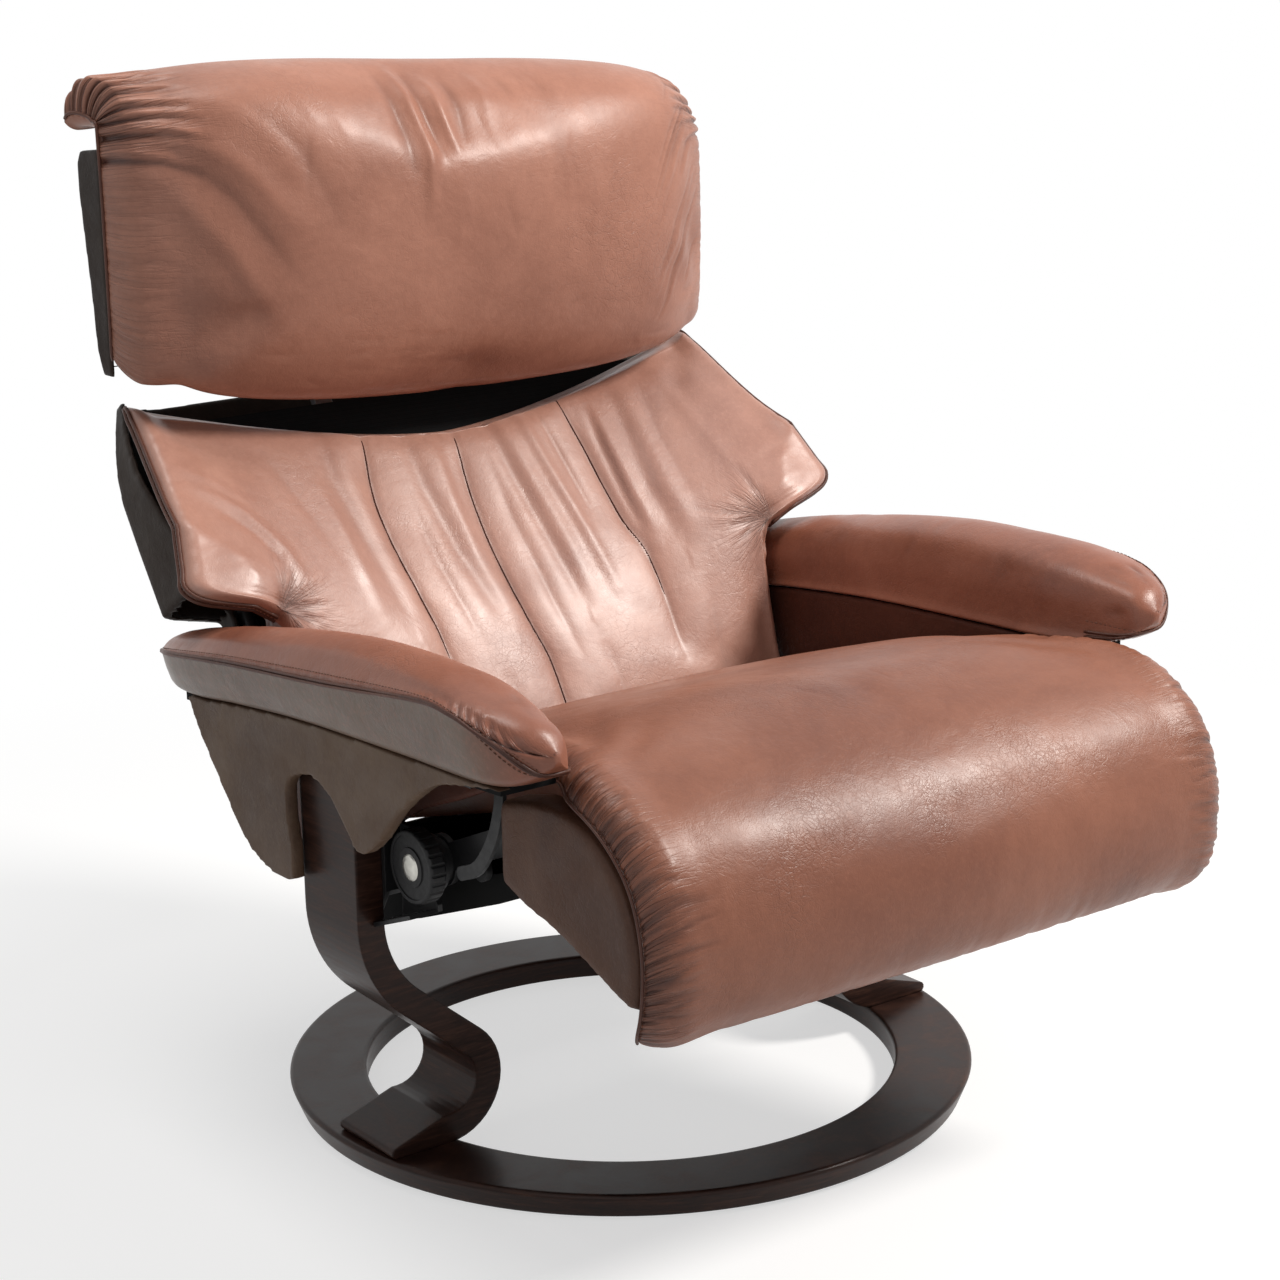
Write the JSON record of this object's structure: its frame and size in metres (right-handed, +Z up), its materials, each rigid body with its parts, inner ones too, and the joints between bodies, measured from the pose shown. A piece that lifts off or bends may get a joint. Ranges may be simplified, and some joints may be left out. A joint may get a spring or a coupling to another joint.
{
  "type": "recliner chair",
  "caption": "Swivel recliner with a wood ring base, bent laminated legs, leather seat, winged back, padded arms, friction knobs and a sliding, tilting headrest.",
  "frame": {"origin": "on the swivel axis, on the floor plane under the base ring", "axes": "+Z up, -Y towards the front of the chair, +X to the right seen from the front"},
  "size_m": [0.8058, 0.906, 1.003],
  "materials": {
    "leather": "smooth semi-aniline leather, satin, with fine grain and soft wrinkles",
    "leather_panel": "smooth leather over boards, satin",
    "stained_wood": "dark stained beech laminate, satin lacquer",
    "plywood": "bare plywood",
    "black_steel": "black powder coat",
    "bright_steel": "zinc plated, slightly dull",
    "black_plastic": "fine matte moulded plastic",
    "knob_cap": "plain polished cap",
    "black_cloth": "thin black lining cloth"
  },
  "bodies": {
    "floor": {"floor_ring": "black_plastic"},
    "ball_race": {"ball_cage": "black_plastic", "bearing_balls": "bright_steel"},
    "base": {"upper_race": "bright_steel", "base_ring": "stained_wood", "leg_left": "stained_wood", "leg_right": "stained_wood", "foot_screws": "black_steel", "leg_bracket_left": "black_steel", "leg_bracket_right": "black_steel", "bracket_bolts": "bright_steel", "tilt_axle": "bright_steel"},
    "knob_left": {"tilt_knob_left": "black_plastic", "knob_cap_left": "knob_cap"},
    "knob_right": {"tilt_knob_right": "black_plastic", "knob_cap_right": "knob_cap"},
    "seat": {"seat_rail_left": "black_steel", "seat_rail_right": "black_steel", "pivot_bush_left": "black_plastic", "pivot_bush_right": "black_plastic", "seat_front_tube": "black_steel", "seat_rear_tube": "black_steel", "seat_springs": "bright_steel", "seat_cushion": "leather", "seat_side_left": "leather", "seat_side_right": "leather", "dust_cover": "black_cloth", "arm_bracket_left": "black_steel", "arm_bracket_right": "black_steel", "arm_board_left": "plywood", "arm_board_right": "plywood", "arm_panel_left": "leather_panel", "arm_panel_right": "leather_panel", "arm_lining_left": "leather_panel", "arm_lining_right": "leather_panel", "arm_pad_left": "leather", "arm_pad_right": "leather"},
    "back": {"hinge_pins": "bright_steel", "back_post_left": "black_steel", "back_post_right": "black_steel", "back_lower_bar": "black_steel", "back_upper_bar": "black_steel", "headrest_sleeves": "black_plastic", "back_springs": "bright_steel", "back_shell": "leather_panel", "back_lining": "black_cloth", "back_cushion": "leather"},
    "headrest_slide": {"headrest_bar_left": "bright_steel", "headrest_bar_right": "bright_steel", "headrest_link": "black_steel"},
    "headrest": {"headrest_pins": "bright_steel", "headrest_frame": "black_steel", "headrest_shell": "leather_panel", "headrest_cushion": "leather"}
  },
  "joints": [
    {"name": "swivel", "type": "hinge", "parent": "floor", "child": "base", "pos_m": [0, 0, 0], "axis": [0, 0, 1], "continuous": true},
    {"name": "ball_orbit", "type": "hinge", "parent": "floor", "child": "ball_race", "pos_m": [0, 0, 0], "axis": [0, 0, 1], "continuous": true},
    {"name": "seat_tilt", "type": "hinge", "parent": "base", "child": "seat", "pos_m": [0, -0.125, 0.331], "axis": [-1, 0, 0], "range_deg": [-4, 12]},
    {"name": "back_recline", "type": "hinge", "parent": "seat", "child": "back", "pos_m": [0, 0.135, 0.33], "axis": [-1, 0, 0], "range_deg": [-4.5, 13]},
    {"name": "headrest_height", "type": "slide", "parent": "back", "child": "headrest_slide", "axis": [0, 0.5736, 0.8192], "range_m": [0, 0.08]},
    {"name": "headrest_tilt", "type": "hinge", "parent": "headrest_slide", "child": "headrest", "pos_m": [0, 0.358, 0.8], "axis": [-1, 0, 0], "range_deg": [0, 20]},
    {"name": "knob_left_turn", "type": "hinge", "parent": "base", "child": "knob_left", "pos_m": [0, -0.125, 0.331], "axis": [-1, 0, 0], "range_deg": [-150, 150]},
    {"name": "knob_right_turn", "type": "hinge", "parent": "base", "child": "knob_right", "pos_m": [0, -0.125, 0.331], "axis": [1, 0, 0], "range_deg": [-150, 150]}
  ],
  "couplings": [
    {"joint": "ball_orbit", "follows": "swivel", "ratio": 0.5},
    {"joint": "back_recline", "follows": "seat_tilt", "ratio": 1}
  ]
}
